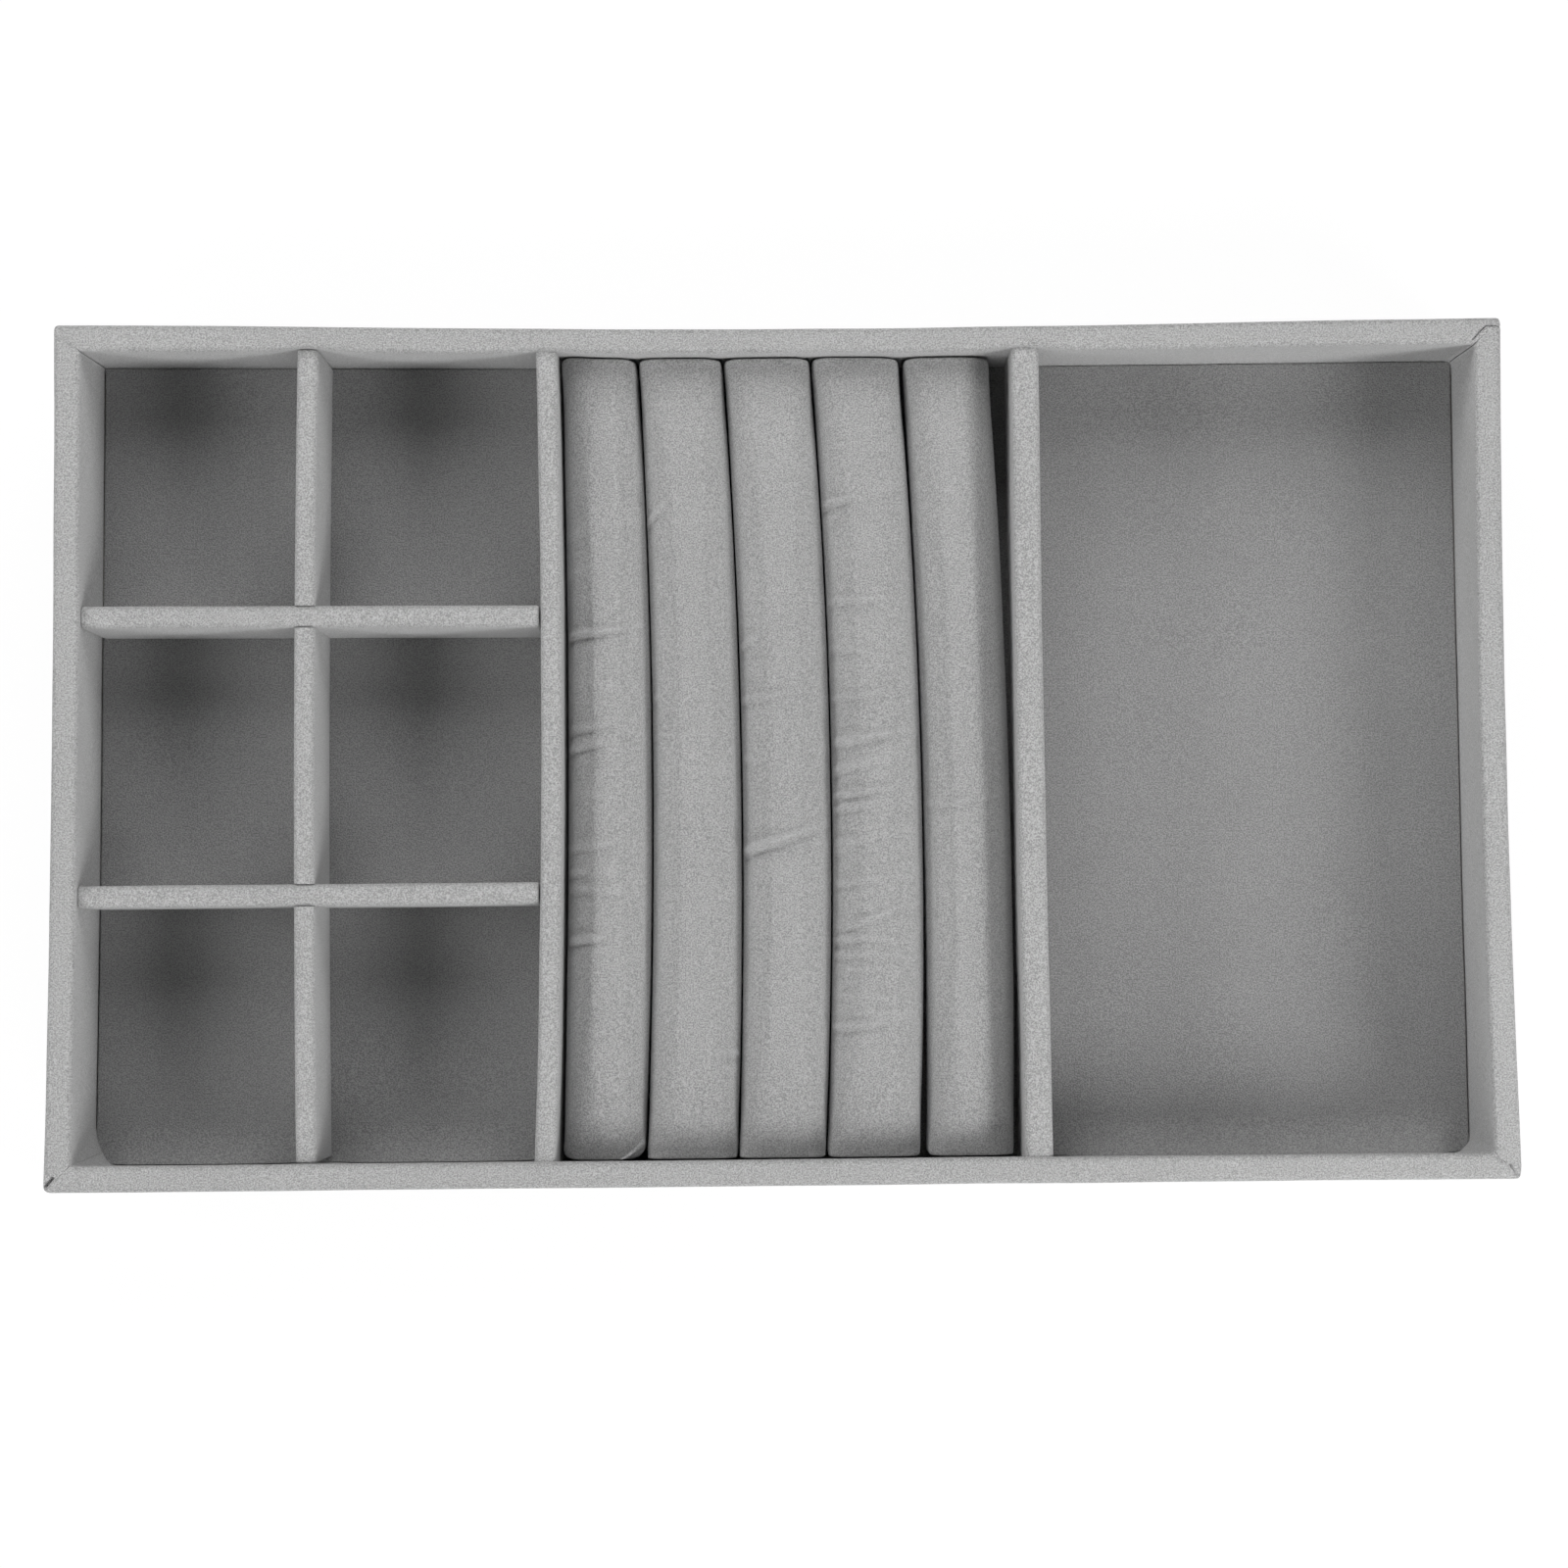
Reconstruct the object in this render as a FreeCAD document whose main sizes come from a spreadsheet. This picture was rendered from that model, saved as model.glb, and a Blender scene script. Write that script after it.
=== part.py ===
import FreeCAD, Part
import math
import os
from types import SimpleNamespace

import Sketcher

# Jewelry tray: a fabric-covered box with six small cells, a bay of ring rolls and one large bay.
# X runs along the tray, Y from front to rear and Z up. The origin is under the middle of the tray.

# Driving dimensions, in millimetres
driving = {
    # outside of the covered tray
    "tray_length": 340.0,
    "tray_width": 201.0,
    "tray_height": 40.0,
    # boards, card and cloth
    "wall_board_thickness": 4.5,
    "divider_board_thickness": 4.0,
    "grid_board_thickness": 3.2,
    "base_board_thickness": 3.0,
    "floor_card_thickness": 1.5,
    "fabric_thickness": 0.85,
    "board_edge_radius": 0.6,
    # underside: the liner stands proud of the cloth turned in around it
    "turn_in_width": 12.0,
    "liner_proud": 0.35,
    "liner_clearance": 0.8,
    "liner_corner_radius": 4.0,
    # floor
    "floor_clearance": 0.5,
    "floor_corner_radius": 3.0,
    # bays, measured between the covered faces
    "cell_zone_width": 107.5,
    "roll_bay_width": 106.0,
    # dividers
    "divider_drop": 1.5,
    "grid_drop": 2.5,
    "grid_end_clearance": 0.6,
    "lap_clearance": 0.3,
    "seat_clearance": 0.2,
    # ring rolls
    "roll_height": 24.0,
    "roll_crown_rise": 8.5,
    "roll_base_draw": 1.2,
    "roll_slack": 1.6,
    "roll_gap": 0.6,
    "roll_rear_bow": 3.0,
    "roll_front_bow": 1.0,
    "roll_end_clearance": 0.6,
    "roll_end_length": 4.0,
    "roll_end_draw": 1.4,
    "sleeve_seam_gap": 3.0,
    # how far a cut runs past the piece it cuts
    "cut_overrun": 2.0,
}
roll_count = 5
right_angle_degrees = 90

doc = FreeCAD.newDocument("jewelry_tray")
sheet = doc.addObject("Spreadsheet::Sheet", "Dimensions")
for row, (alias, number) in enumerate(driving.items(), start=1):
    sheet.set(f"A{row}", alias)
    sheet.set(f"B{row}", str(number))
    sheet.setAlias(f"B{row}", alias)
doc.recompute()


class Size:
    # A length together with the formula that gives it from the sheet
    def __init__(self, value, formula):
        self.value = value
        self.formula = formula

    def join(self, sign, value, other):
        return Size(value, f"({self.formula} {sign} {other.formula})")

    def __add__(self, other):
        other = as_size(other)
        return self.join("+", self.value + other.value, other)

    def __sub__(self, other):
        other = as_size(other)
        return self.join("-", self.value - other.value, other)

    def __mul__(self, other):
        other = as_size(other)
        return self.join("*", self.value * other.value, other)

    def __truediv__(self, other):
        other = as_size(other)
        return self.join("/", self.value / other.value, other)

    def __neg__(self):
        return self * -1

    __rmul__ = __mul__


def as_size(item):
    return item if isinstance(item, Size) else Size(item, repr(item))


def bind(thing, name, size):
    thing.setExpression(name, as_size(size).formula)


d = SimpleNamespace(**{alias: Size(sheet.get(alias), f"Dimensions.{alias}") for alias in driving})

# Sizes that follow from the driving ones
cloth = d.fabric_thickness
soft_edge_radius = d.board_edge_radius + cloth
wall_thickness = d.wall_board_thickness + 2 * cloth
divider_thickness = d.divider_board_thickness + 2 * cloth
grid_thickness = d.grid_board_thickness + 2 * cloth
inner_length = d.tray_length - 2 * wall_thickness
inner_width = d.tray_width - 2 * wall_thickness

base_bottom = cloth + d.liner_proud
base_top = base_bottom + d.base_board_thickness
card_top = base_top + d.floor_card_thickness
floor_top = card_top + cloth

cell_zone_left = inner_length / -2
cell_zone_middle = cell_zone_left + d.cell_zone_width / 2
left_divider_middle = cell_zone_left + d.cell_zone_width + divider_thickness / 2
roll_bay_left = left_divider_middle + divider_thickness / 2
right_divider_middle = roll_bay_left + d.roll_bay_width + divider_thickness / 2
cell_depth = (inner_width - 2 * grid_thickness) / 3
cross_middle = (cell_depth + grid_thickness) / 2


def new_body(name):
    return doc.addObject("PartDesign::Body", name)


def place(piece, x, y, z, quarter_turns=0):
    upright = FreeCAD.Vector(0, 0, 1)
    rotation = FreeCAD.Rotation(upright, quarter_turns * right_angle_degrees)
    piece.Placement = FreeCAD.Placement(FreeCAD.Vector(), rotation)
    bind(piece, "Placement.Base.x", x)
    bind(piece, "Placement.Base.y", y)
    bind(piece, "Placement.Base.z", z)


def new_sketch(body, role, offset=None):
    sketch = body.newObject("Sketcher::SketchObject", body.Name + "_sketch")
    origin_plane = next(item for item in body.Origin.OriginFeatures if item.Role == role)
    sketch.AttachmentSupport = [(origin_plane, "")]
    sketch.MapMode = "FlatFace"
    if offset is not None:
        bind(sketch, "AttachmentOffset.Base.z", offset)
    return sketch


def vector(point):
    return FreeCAD.Vector(point[0].value, point[1].value, 0)


def pin(sketch, edge, end, point):
    # Holds one end of an edge at a point given by two sizes
    for kind, size in zip(("DistanceX", "DistanceY"), point):
        number = sketch.addConstraint(Sketcher.Constraint(kind, -1, 1, edge, end, size.value))
        bind(sketch, f"Constraints[{number}]", size)


def add_line(sketch, start, end):
    edge = sketch.addGeometry(Part.LineSegment(vector(start), vector(end)))
    pin(sketch, edge, 1, start)
    pin(sketch, edge, 2, end)


def add_arc(sketch, start, end, centre, radius):
    # An arc run counter-clockwise from start to end
    middle = vector(centre)
    first, last = (vector(point) - middle for point in (start, end))
    circle = Part.Circle(middle, FreeCAD.Vector(0, 0, 1), radius.value)
    turn_from = math.atan2(first.y, first.x)
    turn_to = math.atan2(last.y, last.x)
    edge = sketch.addGeometry(Part.ArcOfCircle(circle, turn_from, turn_to))
    pin(sketch, edge, 1, start)
    pin(sketch, edge, 2, end)
    number = sketch.addConstraint(Sketcher.Constraint("Radius", edge, radius.value))
    bind(sketch, f"Constraints[{number}]", radius)


def toward(corner, other, radius):
    # The point one radius from a corner along a level or upright edge
    across, up = (there.value - here.value for here, there in zip(corner, other))
    if abs(across) > abs(up):
        return corner[0] + radius * math.copysign(1, across), corner[1]
    return corner[0], corner[1] + radius * math.copysign(1, up)


def draw_loop(sketch, corners):
    # A closed outline; a corner with a third value is rounded by that radius
    points = [tuple(as_size(value) for value in corner[:2]) for corner in corners]
    radii = [as_size(corner[2]) if len(corner) > 2 else None for corner in corners]
    count = len(points)
    ways_in = []
    ways_out = []
    for index, (point, radius) in enumerate(zip(points, radii)):
        before = points[index - 1]
        after = points[(index + 1) % count]
        ways_in.append(toward(point, before, radius) if radius else point)
        ways_out.append(toward(point, after, radius) if radius else point)
    for index, radius in enumerate(radii):
        add_line(sketch, ways_out[index], ways_in[(index + 1) % count])
        if radius is None:
            continue
        start, corner, end = ways_in[index], points[index], ways_out[index]
        centre = tuple(a + b - c for a, b, c in zip(start, end, corner))
        turn = (vector(corner) - vector(start)).cross(vector(end) - vector(corner)).z
        if turn > 0:
            add_arc(sketch, start, end, centre, radius)
        else:
            add_arc(sketch, end, start, centre, radius)


def rectangle(length, width, radius=None):
    rounding = () if radius is None else (radius,)
    signs = ((-1, -1), (1, -1), (1, 1), (-1, 1))
    return [(length / 2 * x, width / 2 * y) + rounding for x, y in signs]


def pad(body, sketch, length, both_ways=False):
    feature = body.newObject("PartDesign::Pad", body.Name + "_pad")
    feature.Profile = sketch
    feature.SideType = "Symmetric" if both_ways else "One side"
    bind(feature, "Length", length)
    return feature


def cut_through(body, sketch, length):
    # A cut that runs equally far to both sides of its sketch
    feature = body.newObject("PartDesign::Pocket", body.Name + "_cut")
    feature.Profile = sketch
    feature.SideType = "Symmetric"
    bind(feature, "Length", length)
    return feature


def ease(body, feature, sides, radius):
    # Rounds every edge of the lowest face, the highest face or both
    doc.recompute()
    faces = feature.Shape.Faces
    heights = [face.CenterOfMass.z for face in faces]
    picks = [heights.index(side(heights)) + 1 for side in sides]
    fillet = body.newObject("PartDesign::Fillet", body.Name + "_ease")
    fillet.Base = (feature, [f"Face{number}" for number in picks])
    bind(fillet, "Radius", radius)


def plate(name, length, width, thickness, bottom, radius=None):
    body = new_body(name)
    sketch = new_sketch(body, "XY_Plane")
    draw_loop(sketch, rectangle(length, width, radius))
    pad(body, sketch, thickness)
    place(body, 0, 0, bottom)
    return body


def strip(name, length, thickness, height, edge_radius, eased_sides, end_radius=None, slots=()):
    # An upright strip along its own X, standing on its own XY plane
    body = new_body(name)
    sketch = new_sketch(body, "XY_Plane")
    draw_loop(sketch, rectangle(length, thickness, end_radius))
    ease(body, pad(body, sketch, height), eased_sides, edge_radius)
    if slots:
        sketch = new_sketch(body, "XZ_Plane")
        for middle, width, low, high in slots:
            left = middle - width / 2
            right = middle + width / 2
            draw_loop(sketch, [(left, low), (right, low), (right, high), (left, high)])
        cut_through(body, sketch, thickness + 2 * d.cut_overrun)
    return body


def cut(name, base, tool):
    result = doc.addObject("Part::Cut", name)
    result.Base = base
    result.Tool = tool
    return result


nodes = {}

# Bottom: liner, board, card and the floor's cloth
liner_inset = d.turn_in_width + d.liner_clearance
nodes["base_liner"] = plate(
    "base_liner", d.tray_length - 2 * liner_inset, d.tray_width - 2 * liner_inset,
    base_bottom, 0, d.liner_corner_radius)
board_inset = cloth + d.wall_board_thickness
nodes["base_board"] = plate(
    "base_board", d.tray_length - 2 * board_inset, d.tray_width - 2 * board_inset,
    d.base_board_thickness, base_bottom)
floor_length = inner_length - 2 * d.floor_clearance
floor_width = inner_width - 2 * d.floor_clearance
for name, thickness, bottom in (
        ("floor_card", d.floor_card_thickness, base_top),
        ("floor_lining", cloth, card_top)):
    nodes[name] = plate(name, floor_length, floor_width, thickness, bottom, d.floor_corner_radius)


# Walls: a board, and a cloth that runs down the inside, over the rim, down the outside and under
def wall_wrap(name, run, reach):
    # Drawn with the wall along X and its outer face at reach on Y
    body = new_body(name)
    inner = reach - wall_thickness
    board_inner = inner + cloth
    board_outer = reach - cloth
    board_top = d.tray_height - cloth
    under = d.liner_proud
    hem = reach - d.turn_in_width
    sketch = new_sketch(body, "YZ_Plane")
    draw_loop(sketch, [
        (inner, base_top),
        (board_inner, base_top),
        (board_inner, board_top, d.board_edge_radius),
        (board_outer, board_top, d.board_edge_radius),
        (board_outer, base_bottom, d.board_edge_radius),
        (hem, base_bottom),
        (hem, under),
        (reach, under, soft_edge_radius),
        (reach, d.tray_height, soft_edge_radius),
        (inner, d.tray_height, soft_edge_radius),
    ])
    pad(body, sketch, run, both_ways=True)
    # mitre at both ends
    sketch = new_sketch(body, "XY_Plane")
    tip = run / 2 + d.cut_overrun
    back = run / 2 - d.turn_in_width - d.cut_overrun
    far = reach + d.cut_overrun
    near = hem - d.cut_overrun
    draw_loop(sketch, [(back, near), (tip, near), (tip, far)])
    draw_loop(sketch, [(-tip, near), (-back, near), (-tip, far)])
    cut_through(body, sketch, 2 * (d.tray_height + d.cut_overrun))
    return body


wall_height = d.tray_height - cloth - base_bottom
long_board_run = d.tray_length - 2 * cloth
short_board_run = d.tray_width - 2 * board_inset
walls = (
    ("rear", d.tray_length, d.tray_width / 2, long_board_run, 0, 1, 0),
    ("front", d.tray_length, d.tray_width / 2, long_board_run, 0, -1, 2),
    ("left", d.tray_width, d.tray_length / 2, short_board_run, -1, 0, 1),
    ("right", d.tray_width, d.tray_length / 2, short_board_run, 1, 0, -1),
)
for side, run, reach, board_run, x_way, y_way, quarter_turns in walls:
    name = f"{side}_wall_board"
    board = strip(name, board_run, d.wall_board_thickness, wall_height,
                  d.board_edge_radius, (min, max))
    board_middle = reach - cloth - d.wall_board_thickness / 2
    place(board, board_middle * x_way, board_middle * y_way, base_bottom, quarter_turns)
    nodes[name] = board
    name = f"{side}_wall_wrap"
    nodes[name] = wall_wrap(name, run, reach)
    place(nodes[name], 0, 0, 0, quarter_turns)


# Dividers: a board inside a cloth that covers its top, its sides and both ends
def divider(name, length, board_thickness, top, bottom, x, y, quarter_turns, end_radius=None, slots=()):
    height = top - bottom
    board = strip(f"{name}_board", length - 2 * cloth, board_thickness, height - cloth,
                  d.board_edge_radius, (max,), slots=slots)
    cover = strip(f"{name}_cover", length, board_thickness + 2 * cloth, height,
                  soft_edge_radius, (max,), end_radius, slots)
    for piece in (board, cover):
        place(piece, x, y, bottom, quarter_turns)
    nodes[f"{name}_board"] = board
    nodes[f"{name}_wrap"] = cut(f"{name}_wrap", cover, board)


divider_top = d.tray_height - d.divider_drop
for name, middle in (("left_divider", left_divider_middle), ("right_divider", right_divider_middle)):
    divider(name, inner_width, d.divider_board_thickness, divider_top, floor_top, middle, 0, 1)

# Grid of the six cells: the cross strips straddle the spine, half lapped
grid_top = d.tray_height - d.grid_drop
grid_bottom = floor_top + d.seat_clearance
grid_height = grid_top - grid_bottom
slot_width = grid_thickness + 2 * d.lap_clearance
spine_slot_floor = (grid_height - d.lap_clearance) / 2
cross_slot_roof = (grid_height + d.lap_clearance) / 2
above = grid_height + d.cut_overrun
below = -d.cut_overrun
divider("grid_spine", inner_width - 2 * d.grid_end_clearance, d.grid_board_thickness,
        grid_top, grid_bottom, cell_zone_middle, 0, 1, soft_edge_radius,
        [(cross_middle * way, slot_width, spine_slot_floor, above) for way in (-1, 1)])
for name, way in (("rear_cross", 1), ("front_cross", -1)):
    divider(name, d.cell_zone_width - 2 * d.grid_end_clearance, d.grid_board_thickness,
            grid_top, grid_bottom, cell_zone_middle, cross_middle * way, 0, soft_edge_radius,
            [(as_size(0), slot_width, below, cross_slot_roof)])

# Ring rolls: foam in a cloth sleeve, crowned on top, drawn in at the foot and at both ends.
# The rolls lie side by side and bow together, so their ends stand left of their middles.
roll_pitch = (d.roll_bay_width - d.roll_slack) / roll_count
roll_half_length = inner_width / 2 - d.roll_end_clearance
roll_foot = floor_top + d.seat_clearance
roll_half_width = (roll_pitch - d.roll_gap) / 2
rear_station_shares = (0.75, 0.5)


def roll_section(body, station, left_edge, right_edge, draw, skin):
    # One upright section across a roll, inset by the skin and narrowed by the draw
    middle = (left_edge + right_edge) / 2
    half = (right_edge - left_edge - d.roll_gap) / 2 - draw - skin
    half_foot = half - d.roll_base_draw
    foot = roll_foot + skin
    rise = d.roll_crown_rise * half / roll_half_width
    shoulder = roll_foot + d.roll_height - draw - skin - rise
    side_height = shoulder - foot
    crown_radius = (half * half + rise * rise) / (2 * rise)
    inward = d.roll_base_draw
    side_radius = (inward * inward + side_height * side_height) / (2 * inward)
    foot_left = (middle - half_foot, foot)
    foot_right = (middle + half_foot, foot)
    shoulder_left = (middle - half, shoulder)
    shoulder_right = (middle + half, shoulder)
    right_centre = (middle + half - side_radius, shoulder)
    left_centre = (middle - half + side_radius, shoulder)
    crown_centre = (middle, shoulder + rise - crown_radius)
    sketch = new_sketch(body, "XZ_Plane", -station)
    add_line(sketch, foot_left, foot_right)
    add_arc(sketch, foot_right, shoulder_right, right_centre, side_radius)
    add_arc(sketch, shoulder_right, shoulder_left, crown_centre, crown_radius)
    add_arc(sketch, shoulder_left, foot_left, left_centre, side_radius)
    return sketch


def roll_loft(body, kind, index, skin):
    none = as_size(0)
    end = roll_half_length - skin
    shoulder = roll_half_length - d.roll_end_length
    rear_stations = [
        (roll_half_length * share, d.roll_rear_bow * share ** 2, none) for share in rear_station_shares]
    stations = (
        (end, d.roll_rear_bow, d.roll_end_draw),
        (shoulder, d.roll_rear_bow, none),
        *rear_stations,
        (none, none, none),
        (-shoulder, d.roll_front_bow, none),
        (-end, d.roll_front_bow, d.roll_end_draw),
    )
    sections = []
    for station, bow, draw in stations:
        left_edge = roll_bay_left + roll_pitch * index - (bow if index else none)
        right_edge = roll_bay_left + roll_pitch * (index + 1) - bow
        sections.append(roll_section(body, station, left_edge, right_edge, draw, skin))
    loft = body.newObject(kind, body.Name + "_loft")
    loft.Profile = sections[0]
    loft.Sections = sections[1:]
    loft.Ruled = True


def roll_seam(body, index):
    # The cloth's two edges stop short of each other along the underside
    middle = roll_bay_left + roll_pitch * index + (roll_pitch - d.roll_rear_bow) / 2
    left = middle - d.sleeve_seam_gap / 2
    right = middle + d.sleeve_seam_gap / 2
    end = roll_half_length - d.roll_end_length
    sketch = new_sketch(body, "XY_Plane", roll_foot)
    draw_loop(sketch, [(left, -end), (right, -end), (right, end), (left, end)])
    cut_through(body, sketch, 2 * cloth)


for index in range(roll_count):
    foam = new_body(f"ring_roll_{index + 1}_foam")
    roll_loft(foam, "PartDesign::AdditiveLoft", index, cloth)
    sleeve = new_body(f"ring_roll_{index + 1}_sleeve")
    roll_loft(sleeve, "PartDesign::AdditiveLoft", index, as_size(0))
    roll_loft(sleeve, "PartDesign::SubtractiveLoft", index, cloth)
    roll_seam(sleeve, index)
    nodes[foam.Name] = foam
    nodes[sleeve.Name] = sleeve

doc.recompute()

for item in doc.Objects:
    if "Invalid" in item.State or "Error" in item.State:
        raise RuntimeError(f"{item.Label} did not build: {item.State}")
os.makedirs("parts", exist_ok=True)
for name, piece in nodes.items():
    shape = piece.Shape
    if shape.isNull() or not shape.isValid() or len(shape.Solids) != 1:
        raise RuntimeError(f"{name} is not one sound solid")
    piece.Label = name
    shape.exportStep(f"parts/{name}.step")
print(len(nodes), "pieces")
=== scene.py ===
import math
import bmesh
import bpy
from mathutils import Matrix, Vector, noise


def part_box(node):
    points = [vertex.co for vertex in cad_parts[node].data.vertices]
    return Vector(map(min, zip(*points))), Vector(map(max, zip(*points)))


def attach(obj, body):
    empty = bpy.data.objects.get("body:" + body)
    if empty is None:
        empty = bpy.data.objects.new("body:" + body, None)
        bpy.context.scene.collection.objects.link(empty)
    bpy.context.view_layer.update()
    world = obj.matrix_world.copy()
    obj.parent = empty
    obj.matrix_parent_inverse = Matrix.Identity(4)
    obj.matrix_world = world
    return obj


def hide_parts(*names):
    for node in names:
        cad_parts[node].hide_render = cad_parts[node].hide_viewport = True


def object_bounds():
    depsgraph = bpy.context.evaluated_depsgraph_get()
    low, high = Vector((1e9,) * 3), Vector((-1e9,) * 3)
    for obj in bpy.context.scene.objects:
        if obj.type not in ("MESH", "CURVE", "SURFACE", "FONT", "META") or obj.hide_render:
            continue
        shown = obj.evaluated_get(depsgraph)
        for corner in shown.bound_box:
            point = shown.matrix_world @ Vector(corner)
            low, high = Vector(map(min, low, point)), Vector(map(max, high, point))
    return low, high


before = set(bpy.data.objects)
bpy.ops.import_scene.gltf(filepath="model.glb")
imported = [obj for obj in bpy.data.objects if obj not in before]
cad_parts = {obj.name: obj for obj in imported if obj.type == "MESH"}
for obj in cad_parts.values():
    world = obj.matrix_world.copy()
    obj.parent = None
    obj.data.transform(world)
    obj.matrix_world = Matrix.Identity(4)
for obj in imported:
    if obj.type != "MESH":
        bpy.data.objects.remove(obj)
cadLow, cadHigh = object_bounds()
print("tray loaded", len(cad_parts), "pieces")

halfLength = cadHigh.x
halfWidth = cadHigh.y
rimTop = cadHigh.z
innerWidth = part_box("left_divider_wrap")[1].y
wallDepth = halfWidth - innerWidth
innerLength = halfLength - wallDepth
boardLow, boardHigh = (corner.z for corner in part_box("base_board"))
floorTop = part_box("floor_lining")[1].z
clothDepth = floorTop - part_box("floor_lining")[0].z
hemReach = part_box("rear_wall_wrap")[0].y
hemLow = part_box("rear_wall_wrap")[0].z
millimetres = 1000  # in a metre
sameSpot = 1e-6  # lengths closer than this count as one
# least share of a normal that counts as facing that way
facing = {"square": 0.9, "mitre": 0.6, "up": 0.3}


def middleOf(box, axis):
    return (box[0][axis] + box[1][axis]) / 2


# the hand-made tray: corners a little out of square, rims bowed in, walls leaning in at the top
handmade = {
    "rearLeft": (0.00116, 0.00048), "rearRight": (-0.00082, -0.0002),
    "frontRight": (0.0012, 0.00041), "frontLeft": (-0.00098, -0.00066),
    # at the floor, at the rim
    "rearBow": (0.001, 0.00175), "rightBow": (0.0003, 0.0012), "leftBow": (0.0003, 0.0007),
    "bowPower": 1.7, "rearLean": 0.0013, "frontLean": 0.0016,
    "ripple": 0.00012, "rippleSize": 0.026, "rippleSeed": 5,
    "cornerFade": 0.0015,  # the inside corner radius fades out this far into the wall
    # the rear rim stands back where a strip presses on it: which strip, how far, over what run
    "pushes": (("grid_spine_wrap", 0.0012, 0.008), ("left_divider_wrap", 0.0007, 0.008),
               ("right_divider_wrap", 0.001, 0.008), ("ring_roll_3_sleeve", 0.0004, 0.06)),
    "pushFrom": 0.7,  # share of the way to the rear wall where a push begins
}
noise.seed_set(handmade["rippleSeed"])  # the same ripples on every run
pushes = [(middleOf(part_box(node), 0), amount, run) for node, amount, run in handmade["pushes"]]


# corner radii in plan, along and across: outside, inside at the rim, inside at the floor
cornerLook = {
    "rearLeft": {"outside": (0.0016, 0.0016), "rim": (0.0008, 0.0008), "floor": (0.001, 0.001)},
    "rearRight": {"outside": (0.0013, 0.0026), "rim": (0.0008, 0.0008), "floor": (0.0018, 0.0018)},
    "frontRight": {"outside": (0.0013, 0.0045), "rim": (0.0008, 0.0008), "floor": (0.0048, 0.0042)},
    "frontLeft": {"outside": (0.002, 0.002), "rim": (0.0008, 0.0008), "floor": (0.0055, 0.0105)},
}
# folds of the cloth in the rim: path in millimetres, depth, half width
rimTucks = (
    (((162.6, 95.2), (164.2, 97.0), (165.8, 98.4), (169.4, 98.2)), 0.0008, 0.00026),
    (((164.6, -94.9), (166.6, -96.0), (168.3, -96.9), (169.9, -100.3)), 0.0005, 0.00024),
    (((168.1, -96.7), (168.5, -97.1)), 0.0009, 0.0004),
    (((-170.1, -99.5), (-168.7, -97.8)), 0.0017, 0.00045),
    (((-164.5, 95.6), (-165.6, 96.8), (-166.9, 97.0), (-167.8, 97.9)), 0.0003, 0.00024),
    (((104.4, -95.4), (105.6, -97.0), (104.2, -99.6)), 0.0002, 0.0005),
)


def between(low, high, share):
    return low + (high - low) * share


def held(value, low=0.0, high=1.0):
    return max(low, min(high, value))


def pullIn(x, y, reachX, reachY, radiusX, radiusY, weight):
    u = (abs(x) - reachX + radiusX) / radiusX
    v = (abs(y) - reachY + radiusY) / radiusY
    out = math.hypot(u, v)
    if u <= 0 or v <= 0 or out <= 1:
        return x, y
    pulledX = reachX - radiusX + u / out * radiusX
    pulledY = reachY - radiusY + v / out * radiusY
    x = math.copysign(between(abs(x), pulledX, weight), x)
    y = math.copysign(between(abs(y), pulledY, weight), y)
    return x, y


def roundCorner(x, y, rise):
    look = cornerLook[("rear" if y > 0 else "front") + ("Left" if x < 0 else "Right")]
    radii = [between(low, high, rise) for low, high in zip(look["floor"], look["rim"])]
    over = max(abs(x) - innerLength, abs(y) - innerWidth, 0)
    x, y = pullIn(x, y, innerLength, innerWidth, *radii, held(1 - over / handmade["cornerFade"]))
    return pullIn(x, y, halfLength, halfWidth, *look["outside"], 1.0)


def tuckDepth(x, y):
    x, y = x * millimetres, y * millimetres
    deepest = 0.0
    for path, depth, half in rimTucks:
        for (ax, ay), (bx, by) in zip(path, path[1:]):
            runX, runY = bx - ax, by - ay
            share = held(((x - ax) * runX + (y - ay) * runY) / (runX ** 2 + runY ** 2))
            away = math.hypot(x - ax - runX * share, y - ay - runY * share) / millimetres
            deepest = max(deepest, depth * math.exp(-(away / half) ** 2))
    return deepest


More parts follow.
